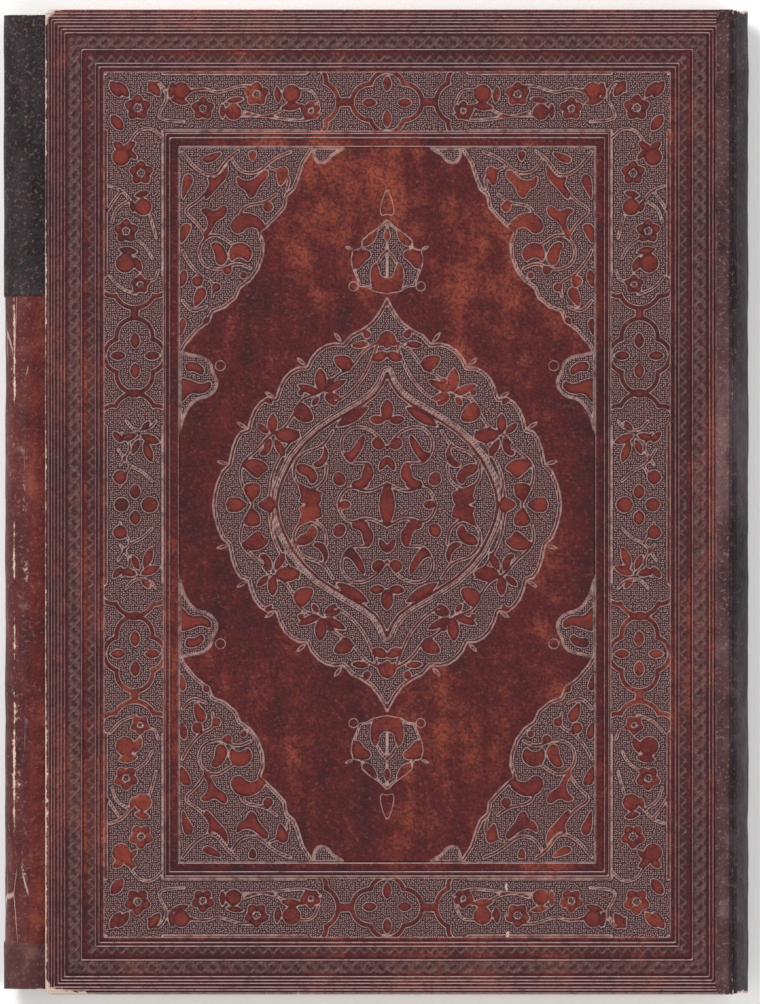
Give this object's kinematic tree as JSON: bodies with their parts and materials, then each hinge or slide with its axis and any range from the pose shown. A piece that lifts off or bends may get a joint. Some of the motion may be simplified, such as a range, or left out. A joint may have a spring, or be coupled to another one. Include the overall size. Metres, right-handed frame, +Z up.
{
  "type": "antique leather book",
  "caption": "Large manuscript bound in blind-tooled red-brown goatskin, with a hinged upper cover, a rounded spine and an envelope flap tucked in at the fore edge.",
  "frame": {"origin": "middle of the footprint, at the underside of the lower cover", "axes": "+X from the fore edge to the spine, +Y from tail to head, +Z up through the leaves"},
  "size_m": [0.2726, 0.36, 0.0521],
  "materials": {
    "tooled_goatskin": "worn satin",
    "flap_goatskin": "cracked satin",
    "repair_leather": "satin",
    "patch_leather": "matt",
    "doublure_leather": "matt",
    "pasteboard": "matt",
    "leaves": "matt",
    "spine_cloth": "matt",
    "endband_silk": "satin"
  },
  "bodies": {
    "book": {"text_block": "leaves", "spine_lining": "spine_cloth", "spine_leather": "repair_leather", "head_endband": "endband_silk", "tail_endband": "endband_silk", "lower_board": "pasteboard", "lower_cover_leather": "tooled_goatskin", "lower_doublure": "doublure_leather", "lower_joint_strip": "repair_leather", "fore_edge_flap_board": "pasteboard", "envelope_flap_board": "pasteboard", "flap_leather": "flap_goatskin", "fore_edge_flap_lining": "doublure_leather", "envelope_flap_doublure": "doublure_leather", "head_repair_patch": "patch_leather", "tail_repair_patch": "patch_leather"},
    "upper_cover": {"upper_board": "pasteboard", "upper_cover_leather": "tooled_goatskin", "upper_doublure": "doublure_leather", "upper_joint_strip": "repair_leather"}
  },
  "joints": [
    {"name": "upper_cover_hinge", "type": "hinge", "parent": "book", "child": "upper_cover", "pos_m": [0.13025, 0, 0.0522], "axis": [0, 1, 0], "range_deg": [0, 180]}
  ]
}
